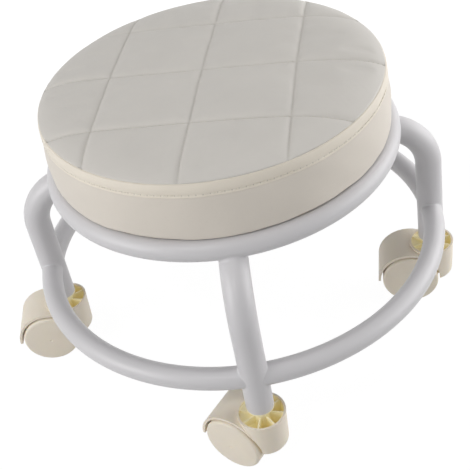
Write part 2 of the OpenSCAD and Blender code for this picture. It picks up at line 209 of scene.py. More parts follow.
class Nodes:
    """A node tree to which nodes are added."""

    def __init__(self, tree):
        self.tree = tree

    def put(self, node, sockets):
        """Sets or links a node's input sockets."""
        for key, value in sockets.items():
            socket = node.inputs[key]
            if isinstance(value, Value):
                self.tree.links.new(value.socket, socket)
            elif socket.type == "RGBA" and len(value) == 3:
                socket.default_value = (*value, 1)
            else:
                socket.default_value = value

    def node(self, kind, settings=None, sockets=None, out=0):
        """A node of this kind, with its settings set first, then its sockets' values or links."""
        node = self.tree.nodes.new(kind)
        for key, value in (settings or {}).items():
            setattr(node, key, value)
        self.put(node, sockets or {})
        return Value(self, node.outputs[out])

    def white_share(self):
        """1 for the rays that see white, and 0 for the rays that light the object."""
        camera, glossy, through = (self.node("ShaderNodeLightPath", out=ray) for ray in WHITE_RAYS)
        return (camera + glossy + through).math("MINIMUM", 1)


class Finish(Nodes):
    """A material and the nodes that it is made of."""

    def __init__(self, name, **sockets):
        self.material = bpy.data.materials.new(name)
        self.material.use_nodes = True
        super().__init__(self.material.node_tree)
        self.shader = self.tree.nodes["Principled BSDF"]
        self.put(self.shader, sockets)
        self.place = self.node("ShaderNodeTexCoord", out="Object")

    def set(self, **sockets):
        """Sets or links sockets of the shader, named with _ for each space."""
        self.put(self.shader, {key.replace("_", " "): value for key, value in sockets.items()})

    def noise(self, size, detail=2.0, rough=0.5, place=None, warp=0.0):
        """Noise with features of about this size in metres."""
        return self.node("ShaderNodeTexNoise", None,
                         {"Vector": place or self.place, "Scale": 1 / size, "Detail": detail,
                          "Roughness": rough, "Distortion": warp})

    def cells(self, size, feature="F1"):
        """Distance from the middles of cells of about this size in metres."""
        return self.node("ShaderNodeTexVoronoi", {"feature": feature},
                         {"Vector": self.place, "Scale": 1 / size}, out="Distance")

    def axes(self):
        """The three object coordinates, each as a value."""
        return (self.node("ShaderNodeSeparateXYZ", None, {0: self.place}, out=k) for k in range(3))

    def mix(self, a, b, share):
        """Colour a, turning into colour b with the share."""
        return self.node("ShaderNodeMix", {"data_type": "RGBA"}, {0: share, 6: a, 7: b}, out=2)

    def bump(self, height, distance, strength=1.0, below=None):
        """A normal from a height of 0 to 1 that stands for this many metres."""
        sockets = {"Height": height, "Distance": distance, "Strength": strength}
        if below is not None:
            sockets["Normal"] = below
        return self.node("ShaderNodeBump", None, sockets)


def shade(color, factor):
    """The colour made darker or lighter."""
    return tuple(min(1.0, c * factor) for c in color)


def leathercloth(name, color):
    """Satin PVC cloth: fine pebbled grain with pores, and soft uneven patches."""
    f = Finish(name, **{"Specular IOR Level": 0.35, "Sheen Weight": 0.08, "Sheen Roughness": 0.4})
    patches = f.noise(45 * MM, 3, 0.55)
    specks = f.noise(1.8 * MM, 2, 0.6)
    tone = f.mix(shade(color, 0.93), shade(color, 1.05), patches)
    tone = f.mix(tone, shade(color, 0.86), (specks - 0.55).rise(0.0, 0.3) * 0.25)
    grain = f.cells(1.1 * MM, "SMOOTH_F1")
    pores = f.noise(0.45 * MM, 2, 0.5)
    folds = f.noise(24 * MM, 2, 0.5, warp=0.4)
    fine = f.bump(grain * 0.7 + pores * 0.3, 0.10 * MM, 0.55)
    f.set(Roughness=0.46 + patches * 0.12 - grain * 0.05,
          Normal=f.bump(folds, 0.30 * MM, 0.4, below=fine))
    return f, tone


def quilt_leather(settings):
    """Leathercloth with painted shade in the sewn creases; the UV map counts pitches from the middle."""
    f, tone = leathercloth("quilted leathercloth", settings.top_color)
    flat = f.node("ShaderNodeUVMap", {"uv_map": "quilt"})
    line = None
    for out in (0, 1):
        at = f.node("ShaderNodeSeparateXYZ", None, {0: flat}, out=out)
        gap = abs(at - at.math("ROUND")) * settings.pitch
        # Painted shade: the colour darkens within about 2 mm of each quilting line, where the crease lies
        # in shade.
        crease_shade = 1 - gap.rise(0.2 * MM, 1.8 * MM)
        line = crease_shade if line is None else line.math("MAXIMUM", crease_shade)
    f.set(Base_Color=f.mix(tone, shade(settings.top_color, 0.6), line * 0.14))
    return f.material


def topstitch_count(settings):
    """Whole stitches round the strip."""
    return round(2 * math.pi * settings.seat_r / settings.topstitch)


def band_leather(settings):
    """Leathercloth of the side: a creamier strip under the seam, with painted shade for the needle holes
    between its stitches, counted by the angle about the seat's axis, a painted shade line under the seam,
    and painted shade where the foot turns under."""
    f, tone = leathercloth("band leathercloth", settings.band_color)
    x, y, up = f.axes()
    sewn = SEAM_Z - settings.strip
    in_strip = (up - (sewn - settings.fold)).rise(-0.2 * MM, 0.3 * MM)
    tone = f.mix(tone, settings.strip_color, in_strip * 0.8)
    turn = y.math("ARCTAN2", x) * (topstitch_count(settings) / (2 * math.pi))
    between = abs(turn - turn.math("ROUND")).rise(0.36, 0.44)
    # Painted shade: dark dots for the needle holes between the strip's stitches.
    hole_shade = between * (1 - abs(up - sewn).rise(0.3 * MM, 0.9 * MM))
    # Painted shade: a thin darker line along the band just below the seam.
    seam_shade = 1 - (SEAM_Z - up).rise(0.1 * MM, 0.9 * MM)
    # Painted shade: the lowest 1.8 mm of the band darken where its foot turns under onto the ring.
    foot = 1 - (up - SEAT_Z).rise(0.5 * MM, 1.8 * MM)
    tone = f.mix(tone, shade(settings.strip_color, 0.5), hole_shade * 0.45)
    tone = f.mix(tone, shade(settings.band_color, 0.3), foot * 0.7)
    f.set(Base_Color=f.mix(tone, shade(settings.band_color, 0.6), seam_shade * 0.12))
    return f.material


def thread(name, color):
    """Twisted polyester thread."""
    f = Finish(name, Roughness=0.6)
    twist = f.noise(0.5 * MM, 1)
    f.set(Base_Color=f.mix(shade(color, 0.8), color, twist),
          Normal=f.bump(twist, 0.06 * MM, 0.5))
    return f.material


def powder_coat(name, color):
    """Satin powder coat: faint orange peel, and a little rub where hands and feet touch."""
    f = Finish(name, **{"Specular IOR Level": 0.65})
    peel = f.noise(2.2 * MM, 2, 0.45)
    fine = f.noise(0.5 * MM, 1)
    cloud = f.noise(60 * MM, 2)
    rub = f.noise(14 * MM, 5, 0.7).rise(0.60, 0.78)
    tone = f.mix(shade(color, 0.97), shade(color, 1.02), cloud)
    f.set(Base_Color=f.mix(tone, shade(color, 0.93), rub * 0.35),
          Roughness=0.37 + cloud * 0.06 + rub * 0.06,
          Normal=f.bump(peel * 0.8 + fine * 0.2, 0.10 * MM, 0.5))
    return f.material


def cup_inside(f, radius, low):
    """1 inside the four stem cups, which stand under the legs, and 0 elsewhere."""
    x, y, up = f.axes()
    far, near = abs(x).math("MAXIMUM", abs(y)), abs(x).math("MINIMUM", abs(y))
    away = ((far - LEG_R) ** 2 + near ** 2) ** 0.5
    return (1 - away.rise(radius - 0.4 * MM, radius)) * (up - low).rise(0, 3 * MM)


def moulded_nylon(name, color, cups=False):
    """Ivory nylon from a mould: spark-finish texture, faint flow marks and scuffs, and where cups is
    true a painted warm glow inside the stem cups, in base colour and emission, for light that comes
    through their walls."""
    f = Finish(name, **{"Specular IOR Level": 0.45, "Subsurface Weight": 0.12,
                        "Subsurface Radius": (0.006, 0.004, 0.002), "Subsurface Scale": 1.0})
    flow = f.noise(22 * MM, 2, 0.5, warp=0.8)
    spark = f.noise(0.6 * MM, 2, 0.6)
    scuff = f.noise(5 * MM, 6, 0.75, warp=0.3).rise(0.62, 0.74)
    tone = f.mix(shade(color, 0.96), shade(color, 1.03), flow)
    tone = f.mix(tone, shade(color, 0.88), scuff * 0.3)
    f.set(Roughness=0.42 + spark * 0.12 + scuff * 0.08, Normal=f.bump(spark, 0.05 * MM, 0.5))
    if not cups:
        f.set(Base_Color=tone)
        return f.material
    # Painted light: inside the cups the colour is a deeper, darker yellow low down and paler higher up,
    # and the surface glows faintly.
    inside = cup_inside(f, CUP_R - 1.6 * MM, 22 * MM)
    up = f.node("ShaderNodeSeparateXYZ", None, {0: f.place}, out=2)
    painted_glow = f.mix((0.80, 0.68, 0.30), (0.90, 0.84, 0.62), up.rise(34 * MM, 56 * MM))
    f.set(Base_Color=f.mix(tone, painted_glow, inside),
          Emission_Color=f.mix((0, 0, 0), (0.85, 0.72, 0.34), inside), Emission_Strength=0.10)
    return f.material


def zinc_plate(color):
    """Bright zinc plate with turning marks."""
    f = Finish("zinc plate", Metallic=1.0)
    cloud = f.noise(4 * MM, 3, 0.6)
    marks = f.noise(0.4 * MM, 2)
    f.set(Base_Color=f.mix(shade(color, 0.8), shade(color, 1.15), cloud),
          Roughness=0.28 + cloud * 0.15,
          Normal=f.bump(marks, 0.03 * MM, 0.4))
    return f.material


def plywood():
    """Sanded plywood with long grain."""
    f = Finish("plywood", Roughness=0.65)
    long = f.node("ShaderNodeMapping", None, {"Vector": f.place, "Scale": (1, 14, 14)})
    grain = f.noise(30 * MM, 6, 0.6, place=long, warp=0.6)
    f.set(Base_Color=f.mix((0.60, 0.44, 0.26), (0.78, 0.62, 0.42), grain),
          Normal=f.bump(grain, 0.15 * MM, 0.5))
    return f.material


def dust_cloth():
    """Black spun cloth with a pressed dot pattern."""
    f = Finish("dust cloth", Roughness=0.9)
    dots = f.cells(1.6 * MM)
    fibre = f.noise(0.7 * MM, 3, 0.7)
    f.set(Base_Color=f.mix((0.018, 0.018, 0.020), (0.055, 0.055, 0.058), fibre),
          Normal=f.bump(dots * 0.6 + fibre * 0.4, 0.2 * MM, 0.6))
    return f.material


def paint(material, *nodes):
    """Gives CAD nodes a finish."""
    for name in nodes:
        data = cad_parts[name].data
        data.materials.clear()
        data.materials.append(material)


def piece(name, points, faces, material, body="stool", uv=None):
    """A smooth mesh object from points and faces, riding on a body."""
    rows = faces if isinstance(faces, list) else faces.tolist()
    mesh = bpy.data.meshes.new(name)
    mesh.from_pydata(points.reshape(-1, 3).tolist(), [], rows)
    mesh.validate()
    if uv is not None:
        layer = mesh.uv_layers.new(name="quilt")
        corner = np.zeros(len(mesh.loops), np.int32)
        mesh.loops.foreach_get("vertex_index", corner)
        layer.data.foreach_set("uv", uv[corner].ravel().astype(np.float32))
    mesh.polygons.foreach_set("use_smooth", np.full(len(mesh.polygons), True))
    mesh.materials.append(material)
    made = bpy.data.objects.new(name, mesh)
    bpy.context.scene.collection.objects.link(made)
    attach(made, body)
    return made


def grid_faces(rows, columns, wrap_rows=False, wrap_columns=False, flip=False):
    """Quads between neighbouring points of a grid, with either direction closed if wrapped."""
    r = np.arange(rows if wrap_rows else rows - 1)
    c = np.arange(columns if wrap_columns else columns - 1)
    r, c = (a.ravel() for a in np.meshgrid(r, c, indexing="ij"))
    up, on = (r + 1) % rows, (c + 1) % columns
    quads = np.stack([r * columns + c, r * columns + on, up * columns + on, up * columns + c], 1)
    return quads[:, ::-1] if flip else quads


def round_tube(bend_r, flat, middle, tube_r):
    """The surface of a round tube bent about a middle: a function that moves points onto it and gives
    its normals. flat masks the two axes of the bend's plane."""
    flat, middle = np.array(flat, float), np.array(middle, float)

    def onto(p):
        out = (p - middle) * flat
        out /= np.linalg.norm(out, axis=-1, keepdims=True)
        line = middle + bend_r * out
        away = p - line
        away /= np.linalg.norm(away, axis=-1, keepdims=True)
        return line + tube_r * away, away

    return onto


def weld(loop, onto_a, onto_b, width):
    """A weld between two surfaces. The loop is drawn onto both in turn until it is their common edge C.
    With A and B a width away from C on either surface, (1-t)^2 A + 2t(1-t) C + t^2 B for t from 0 to 1
    is a hollow curve across the corner. A and B are sunk a little, and the section is closed inside the
    metal. The width varies round the loop by slow and quick sine waves."""
    tries, sink, root = 40, 0.12 * MM, 0.8 * MM
    for _ in range(tries):
        loop = onto_b(onto_a(loop)[0])[0]
    na, nb = onto_a(loop)[1], onto_b(loop)[1]
    across = (na * nb).sum(-1, keepdims=True)
    lap = np.linspace(0, 2 * np.pi, len(loop), endpoint=False)[:, None]
    width = width * (1 + 0.10 * np.sin(3 * lap + 0.5) + 0.05 * np.sin(26 * lap))
    to_a, to_b = nb - across * na, na - across * nb
    a, a_out = onto_a(loop + width * to_a / np.linalg.norm(to_a, axis=-1, keepdims=True))
    b, b_out = onto_b(loop + width * to_b / np.linalg.norm(to_b, axis=-1, keepdims=True))
    a, b = a - sink * a_out, b - sink * b_out
    share = np.linspace(0, 1, 9)[:, None, None]
    curve = (1 - share) ** 2 * a + 2 * share * (1 - share) * loop + share ** 2 * b
    inside = loop - root * (na + nb)
    points = np.concatenate([curve, inside[None]]).swapaxes(0, 1)
    return points, grid_faces(len(loop), len(share) + 1, True, True)


def join(parts):
    """Points and faces of several meshes as one."""
    points, faces, start = [], [], 0
    for p, f in parts:
        p = p.reshape(-1, 3)
        points.append(p)
        faces.append(f + start)
        start += len(p)
    return np.concatenate(points), np.concatenate(faces)


def spin(points, angle):
    """Points turned about the Z axis, by radians."""
    c, s = math.cos(angle), math.sin(angle)
    return points @ np.array([[c, s, 0], [-s, c, 0], [0, 0, 1]])


def bulge(f, waist):
    """Swell of the side band at a share f of its height: half sine waves below and above the waist,
    on lines that fall from 1/2 to 1/4 at the waist and to 0 at the seam."""
    g = np.where(f < waist, f / waist, (f - waist) / (1 - waist))
    low = 0.5 + 0.5 * np.sin(np.pi * g) - 0.25 * g
    return np.where(f < waist, low, 0.25 - 0.25 * g + 0.2 * np.sin(np.pi * g))


def crown(r, s):
    """Height of the top over its seam: the crown less its rise times (r / seat_r)^power, so it is flat
    in the middle and turns down near the seam."""
    edge = 0.3 * s.depth + 0.2 * MM
    return edge + (s.crown - edge) * (1 - np.minimum(r / s.seat_r, 1.0) ** s.crown_power)


def inflate(points, faces, pinned, pressure, cap):
    """Fills a sheet by cloth simulation, held at the pinned points, and returns how far each point
    moved, at most the cap."""
    frames = 20
    mesh = bpy.data.meshes.new("fill")
    mesh.from_pydata(points.tolist(), [], faces.tolist())
    sheet = bpy.data.objects.new("fill", mesh)
    scene = bpy.context.scene
    scene.collection.objects.link(sheet)
    sheet.vertex_groups.new(name="pin").add(np.nonzero(pinned)[0].tolist(), 1.0, "REPLACE")
    cloth = sheet.modifiers.new("Cloth", "CLOTH")
    c = cloth.settings
    c.quality = 6
    c.mass = 0.15
    c.tension_stiffness = c.compression_stiffness = 20
    c.shear_stiffness = 8
    c.bending_stiffness = 20
    c.vertex_group_mass = "pin"
    c.shrink_min = -0.002
    c.use_pressure = True
    c.uniform_pressure_force = pressure
    c.effector_weights.gravity = 0
    cloth.point_cache.frame_start = 1
    cloth.point_cache.frame_end = frames
    for number in range(1, frames + 1):
        scene.frame_set(number)
    filled = sheet.evaluated_get(bpy.context.evaluated_depsgraph_get()).to_mesh()
    moved = np.zeros(len(points) * 3)
    filled.vertices.foreach_get("co", moved)
    scene.frame_set(1)
    bpy.data.objects.remove(sheet)
    bpy.data.meshes.remove(mesh)
    moved = moved.reshape(-1, 3) - points
    size = np.linalg.norm(moved, axis=1, keepdims=True)
    return moved * np.minimum(1, cap / np.maximum(size, 1e-9))


def finer(grid, times):
    """A grid of values between the given ones, by cubic curves through them along both directions."""
    for _ in range(2):
        a = np.concatenate([2 * grid[:1] - grid[1:2], grid, 2 * grid[-1:] - grid[-2:-1]])
        t = np.arange(times).reshape(1, -1, *[1] * (grid.ndim - 1)) / times
        p0, p1, p2, p3 = (a[k:len(a) - 3 + k, None] for k in range(4))
        cubic = 3 * (p1 - p2) + p3 - p0
        curve = p1 + 0.5 * t * (p2 - p0 + t * (2 * p0 - 5 * p1 + 4 * p2 - p3 + t * cubic))
        curve = curve.reshape(-1, *grid.shape[1:])
        grid = np.concatenate([curve, grid[-1:]]).swapaxes(0, 1)
    return grid


def pillow_moves(s, cells, line_every):
    """How far the stuffing moves each point of a square grid on the quilted top: a cloth held along
    the sewn lines and the seam is filled from below."""
    half = cells // 2
    steps = np.arange(-half, half + 1)
    x, y = np.meshgrid(steps * s.pitch / line_every, steps * s.pitch / line_every, indexing="ij")
    r = np.hypot(x + s.shift, y)
    inside = r < s.seat_r + 0.8 * s.pitch / line_every
    pull = s.seat_r / np.maximum(r, s.seat_r)
    points = np.stack([(x + s.shift) * pull, y * pull, crown(r, s)], -1)
    on_line = (steps % line_every == 0)
    pinned = on_line[:, None] | on_line[None, :] | (r > s.seat_r - 0.5 * s.pitch / line_every)
    quads = grid_faces(len(steps), len(steps), flip=True)
    quads = quads[inside.ravel()[quads].all(1)]
    used, quads = np.unique(quads, return_inverse=True)
    moved = inflate(points.reshape(-1, 3)[used], quads.reshape(-1, 4), pinned.ravel()[used],
                    s.pressure, cap=6 * MM)
    moves = np.zeros((x.size, 3))
    moves[used] = moved
    return moves.reshape(*x.shape, 3)


def ripple(x, y, size, seed):
    """Smooth noise of about -1 to 1: a sum of sine waves of about one size in random directions that
    the seed fixes."""
    waves = 7
    rng = np.random.default_rng(seed)
    total = 0
    for _ in range(waves):
        angle, phase = rng.uniform(0, 2 * np.pi, 2)
        k = 2 * np.pi / (size * rng.uniform(0.7, 1.5))
        total = total + np.sin(k * (x * np.cos(angle) + y * np.sin(angle)) + phase)
    return total / waves ** 0.5 / 1.5


def quilted_surface(s):
    """The quilted top on a fine square grid: the crown and the pillows' moves, less a groove of
    depth 1 / (1 + (d / groove)^2) along each sewn line, a crease exp(-(d / crease)^2) that the stitches
    deepen, and puckers that fade with the distance d from the line."""
    line_every, times = 25, 3
    groove, crease, edge = 2.4 * MM, 0.8 * MM, 10 * MM
    pucker_on, pucker_off = 1 * MM, 7 * MM
    crease_deep, pucker_high, sag = 0.25 * MM, 0.12 * MM, 0.10 * MM
    cells = 2 * math.ceil((s.seat_r + abs(s.shift)) / s.pitch * line_every + 1)
    moves = finer(pillow_moves(s, cells, line_every), times)
    count = cells * times + 1
    step = s.pitch / line_every / times
    at = (np.arange(count) - count // 2) * step
    x, y = np.meshgrid(at, at, indexing="ij")
    r = np.hypot(x + s.shift, y)
    z = crown(r, s)
    near_edge = np.clip((s.seat_r - r) / edge, 0, 1)
    wide = 0.55 + 0.45 * near_edge
    level = 1
    for here, along, seed in ((x, y, 3), (y, x, 5)):
        line = here - np.round(here / s.pitch) * s.pitch
        stitch = 0.5 + 0.5 * np.cos(2 * np.pi * along / s.stitch)
        level = level * (1 - 1 / (1 + (line / groove) ** 2))
        z = z - wide * crease_deep * np.exp(-(line / crease) ** 2) * (0.6 + 0.4 * stitch)
        pucker = ripple(along, 0.3 * here, 13 * MM, seed)
        pucker = pucker + 0.6 * ripple(along, 0.2 * here, 6 * MM, seed + 1)
        off = np.abs(line)
        fade = np.exp(-off / pucker_off) * (1 - np.exp(-off / pucker_on))
        z = z + pucker_high * pucker * near_edge * fade
    z = z + sag * ripple(x, y, 45 * MM, 11) * near_edge - wide * 0.75 * s.depth * (1 - level)
    surface = np.stack([x + s.shift, y, z + SEAM_Z], -1) + moves * near_edge[..., None] ** 0.5
    return surface, r, step


def drift(points, s):
    """The sewn lines wander a little from a true square grid: a cosine wave across and a sine wave
    along, both fading to 0 at the seam."""
    x, y = points[..., 0], points[..., 1]
    across, along = 0.20, 0.30
    hold = np.clip(1 - (np.hypot(x, y) / s.seat_r) ** 4, 0, 1)
    moved = points.copy()
    moved[..., 0] -= hold * 0.6 * MM * np.cos(2 * np.pi * y / across)
    moved[..., 1] += hold * 1.8 * MM * np.sin(2 * np.pi * x / along + 0.35)
    return moved


def stitches(centres, ahead, up, length, radius):
    """One short thread at each centre, lying ahead: rings of radius (1 - |t|^3)^0.5 for t from -1 to 1,
    arched upwards by 1 - t^2."""
    rings, sides, arch = 5, 6, 0.25 * MM
    t = np.linspace(-1, 1, rings)
    turn = np.linspace(0, 2 * np.pi, sides, endpoint=False)
    wide = radius * np.sqrt(np.maximum(0.02, 1 - np.abs(t) ** 3))
    side = np.cross(up, ahead)
    body = (t[None, :, None, None] * length / 2 * ahead[:, None, None, :]
            + (1 - t ** 2)[None, :, None, None] * arch * up[:, None, None, :]
            + (wide[:, None] * np.cos(turn))[None, :, :, None] * side[:, None, None, :]
            + (wide[:, None] * np.sin(turn))[None, :, :, None] * up[:, None, None, :])
    points = centres[:, None, None, :] + body
    shell = grid_faces(rings, sides, False, True)
    end = np.array([[0, 1, 2, 3], [0, 3, 4, 5]])
    first = np.arange(sides)[::-1]
    last = (rings - 1) * sides + np.arange(sides)
    one = np.concatenate([shell, first[end], last[end]])
    faces = (np.arange(len(centres)) * rings * sides)[:, None, None] + one[None]
    return points.reshape(-1, 3), faces.reshape(-1, 4)


class STOOL_OT_cushion(bpy.types.Operator):
    """Make the quilted top, the side band and their stitches"""

    bl_idname = "stool.cushion"
    bl_label = "Cushion"

    def execute(self, context):
        s = context.scene.stool_cushion
        surface, step = self.top(s)
        self.sew_top(s, surface, step)
        self.sew_band(s)
        self.band(s)
        return {"FINISHED"}

    def top(self, s):
        """The part of the quilted surface inside the seam, drawn onto the seam's circle at its rim, with a
        tucked edge and a flat base below. Its UV map counts pitches from the quilting's middle."""
        tuck_in, tuck_down, rim_drop = 1.6 * MM, 2.4 * MM, 0.3 * MM
        surface, r, step = quilted_surface(s)
        count = len(r)
        quads = grid_faces(count, count, flip=True)
        quads = quads[(r.ravel()[quads] < s.seat_r).any(1)]
        used, quads = np.unique(quads, return_inverse=True)
        quads = quads.reshape(-1, 4)
        flat = surface.reshape(-1, 3)[used]
        out = r.ravel()[used]
        pull = s.seat_r / np.maximum(out, s.seat_r)
        flat[:, :2] *= pull[:, None]
        rim = np.hypot(flat[:, 0], flat[:, 1]) > s.seat_r - 1e-6
        flat[rim, 2] = SEAM_Z + crown(np.array(s.seat_r), s) - rim_drop
        uv = (flat[:, :2] - [s.shift, 0]) / s.pitch
        flat = spin(drift(flat, s), s.turn)
        edge = np.nonzero(rim)[0]
        edge = edge[np.argsort(np.arctan2(flat[edge, 1], flat[edge, 0]))]
        tuck = flat[edge] * [1 - tuck_in / s.seat_r, 1 - tuck_in / s.seat_r, 1]
        tuck[:, 2] = SEAM_Z - tuck_down
        lap = np.arange(len(edge))
        new = len(flat) + lap
        skirt = np.stack([edge, new, np.roll(new, -1), np.roll(edge, -1)], 1)
        points = np.concatenate([flat, tuck])
        uv = np.concatenate([uv, uv[edge]])
        faces = quads.tolist() + skirt.tolist() + [new[::-1].tolist()]
        top = piece("quilted_cushion_top", points, faces, quilt_leather(s), uv=uv)
        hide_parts("quilted_top", "foam_pad")
        return surface, step

    def sew_top(self, s, surface, step):
        """Stitches along every quilting line, read off the fine grid."""
        thread_r, end_gap, cover = 0.24 * MM, 3 * MM, 0.74
        middle = len(surface) // 2
        centres, ahead, up = [], [], []
        for axis in (0, 1):
            for k in range(-int(s.seat_r / s.pitch), int(s.seat_r / s.pitch) + 1):
                across = k * s.pitch + s.shift * (1 - axis)
                reach = math.sqrt(s.seat_r ** 2 - across ** 2) - end_gap
                along = np.arange(-reach, reach, s.stitch) + s.stitch / 2 - s.shift * axis
                cells = along / step + middle
                low = np.floor(cells).astype(int)
                share = (cells - low)[:, None]
                row = middle + round(k * s.pitch / step)
                line = surface[row] if axis == 0 else surface[:, row]
                at = line[low] * (1 - share) + line[low + 1] * share
                way = line[low + 1] - line[low - 1]
                centres.append(at)
                ahead.append(way / np.linalg.norm(way, axis=1, keepdims=True))
                side = np.array([1.0, 0, 0]) if axis == 0 else np.array([0, -1.0, 0])
                lift = np.cross(side, ahead[-1])
                up.append(lift / np.linalg.norm(lift, axis=1, keepdims=True))
        centres = spin(drift(np.concatenate(centres), s), s.turn)
        points, faces = stitches(centres, spin(np.concatenate(ahead), s.turn),
                                 spin(np.concatenate(up), s.turn), cover * s.stitch, thread_r)
        piece("quilting_stitches", points, faces, thread("quilting thread", s.quilt_thread))

    def sew_band(self, s):
        """Topstitches round the strip, each slanting a little upwards."""
        thread_r, proud, cover, slant = 0.42 * MM, 0.25 * MM, 0.66, math.radians(9)
        z = SEAM_Z - s.strip
        count = topstitch_count(s)
        lap = np.arange(count) * 2 * np.pi / count
        r = s.seat_r + s.swell * 0.25 + proud
        out = np.stack([np.cos(lap), np.sin(lap), 0 * lap], -1)
        centres = out * r + [0, 0, z]
        level = np.stack([-np.sin(lap), np.cos(lap), 0 * lap], -1)
        along = level * math.cos(slant) + [0, 0, math.sin(slant)]
        points, faces = stitches(centres, along, out, cover * s.topstitch, thread_r)
        piece("band_stitches", points, faces, thread("topstitch thread", s.thread_color))

    def band(self, s):
        """The side band: a swelling profile carried round the seat's axis, with soft creases and pulls
        at the stitches. Its foot curls in on a quarter circle and goes on as the hem, which stands off
        the ring at one place. The inner side closes the profile."""
        laps = 720
        lip, billow, tug, notch_deep = 0.55 * MM, 0.45 * MM, 0.28 * MM, 0.22 * MM
        hem_slack, slack_high = 0.9 * MM, 14 * MM
        tall = SEAM_Z - SEAT_Z
        waist = 1 - s.strip / tall
        edge = waist - s.fold / tall
        f = np.concatenate([np.linspace(1, waist + 0.03, 12), np.linspace(waist + 0.02, edge - 0.01, 22),
                            np.linspace(edge - 0.02, 0.12, 30), np.linspace(0.11, 0, 14)])
        r_out = s.seat_r + s.swell * bulge(f, waist) + lip / (1 + np.exp((edge - f) / 0.003))
        z_out = SEAT_Z + f * tall
        lap = np.linspace(0, 2 * np.pi, laps, endpoint=False)
        arc = lap * s.seat_r
        wave = ripple(np.cos(lap)[None] * s.seat_r + 0 * f[:, None],
                      np.sin(lap)[None] * s.seat_r + z_out[:, None], 42 * MM, 21)
        near_waist = np.exp(-np.abs(f[:, None] - waist) / 0.10)
        pull = near_waist * ripple(arc[None] + 0 * f[:, None], 0.2 * z_out[:, None], 17 * MM, 23)
        body = np.clip(f[:, None] * (1 - f[:, None]) * 8, 0, 1)
        notch = notch_deep * np.exp(-((f[:, None] - waist) * tall / (0.9 * MM)) ** 2)
        curl = (3.2 + 1.2 * ripple(arc[None], 0 * arc[None], 90 * MM, 29)
                + 0.8 * ripple(arc[None], 0 * arc[None], 30 * MM, 31)) * MM
        curl = np.maximum(curl, 1.2 * MM)
        under = np.clip(1 - f[:, None] * tall / curl, 0, 1)
        turned = curl * (1 - np.sqrt(1 - under ** 2))
        radius = r_out[:, None] + body * (billow * wave + tug * pull) - notch - turned
        foot = r_out[-1] - s.cover_t
        hem = r_out[-1] - s.hem
        inner = np.array([[r_out[-1] - 7 * MM, SEAT_Z], [hem + 0.3 * MM, SEAT_Z],
                          [hem, SEAT_Z + 0.5 * s.cover_t], [hem + 0.3 * MM, SEAT_Z + s.cover_t],
                          [foot - 6 * MM, SEAT_Z + s.cover_t], [foot - 3 * MM, SEAT_Z + 4 * MM],
                          [s.seat_r + 0.4 * s.swell - s.cover_t, (SEAT_Z + SEAM_Z) / 2],
                          [s.seat_r - s.cover_t, SEAM_Z - 1 * MM], [s.seat_r - 0.6 * s.cover_t, SEAM_Z]])
        radius = np.concatenate([radius, np.repeat(inner[:, :1], laps, 1)])
        height = np.concatenate([z_out, inner[:, 1]])[:, None] + 0 * lap[None]
        loose = np.exp(-(np.angle(np.exp(1j * (lap - s.loose_at))) / 0.30) ** 2)
        slack = hem_slack * np.clip(loose + 0.3 * ripple(arc, 0 * arc, 60 * MM, 37), 0, 1)
        height[:len(f)] += slack * np.clip(1 - f[:, None] * tall / slack_high, 0, 1) ** 2
        points = np.stack([radius * np.cos(lap), radius * np.sin(lap), height], -1)
        faces = grid_faces(len(points), laps, True, True, flip=True)
        band = piece("cushion_side_band", points, faces, band_leather(s))
        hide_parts("cover_band")


class STOOL_OT_underside(bpy.types.Operator):
    """Finish the board, the dust cover, the brackets and the screws under the seat"""

    bl_idname = "stool.underside"
    bl_label = "Underside"

    def execute(self, context):
        s = context.scene.stool_frame
        paint(plywood(), "seat_board")
        paint(dust_cloth(), "dust_cover")
        paint(powder_coat("bracket powder coat", s.paint), "seat_brackets")
        paint(zinc_plate(s.zinc), "seat_screws", "grip_rings", *[a + "_stem" for a in LEG_ANGLES],
              *[a + "_axle" for a in LEG_ANGLES])
        return {"FINISHED"}


class STOOL_OT_frame(bpy.types.Operator):
    """Finish the tubes of the frame and lay the welds"""

    bl_idname = "stool.frame"
    bl_label = "Frame"

    def execute(self, context):
        s = context.scene.stool_frame
        coat = powder_coat("white powder coat", s.paint)
        paint(coat, "upper_ring", *[a + "_leg" for a in LEG_ANGLES], *ARCS)
        self.welds(s, coat)
        return {"FINISHED"}

    def welds(self, s, coat):
        """Welds where the lower ring meets each leg, and where each leg carries the upper ring, made at
        the leg on +X and turned to each leg."""
        loop_points, reach_in, reach_side = 96, 8 * MM, 9 * MM
        crest = LEG_HIGH.z - LEG_TUBE_R
        bend = round_tube(s.bend_r, LEG_PLANE, (LEG_R - s.bend_r, 0, crest - s.bend_r), LEG_TUBE_R)
        ring = round_tube(RING_R, LEVEL_PLANE, (0, 0, RING_Z), RING_TUBE_R)
        foot_ring = round_tube(LEG_R, LEVEL_PLANE, (0, 0, FOOT_RING_Z), RING_TUBE_R)

        def upright(p):
            """Points moved onto the leg's upright tube, and its normals there."""
            away = p - [LEG_R, 0, 0]
            away[..., 2] = 0
            away /= np.linalg.norm(away, axis=-1, keepdims=True)
            return [LEG_R, 0, 0] + p * [0, 0, 1] + LEG_TUBE_R * away, away

        turn = np.linspace(0, 2 * np.pi, loop_points, endpoint=False)
        start = np.stack([RING_R - 0.8 * MM + reach_in * np.cos(turn), reach_side * np.sin(turn),
                          RING_Z - RING_TUBE_R + 0 * turn], -1)
        parts = {"upper_ring_welds": [weld(start, ring, bend, s.fillet)], "foot_ring_welds": []}
        for side in (1, -1):
            start = np.stack([LEG_R + RING_TUBE_R * np.cos(turn), side * reach_side + 0 * turn,
                              FOOT_RING_Z + RING_TUBE_R * np.sin(turn)], -1)
            parts["foot_ring_welds"].append(weld(start[::side], foot_ring, upright, s.bead))
        for name, made in parts.items():
            points, faces = join([(spin(p.reshape(-1, 3), math.radians(angle)), f)
                                  for angle in LEG_ANGLES.values() for p, f in made])
            piece(name, points, faces, coat)


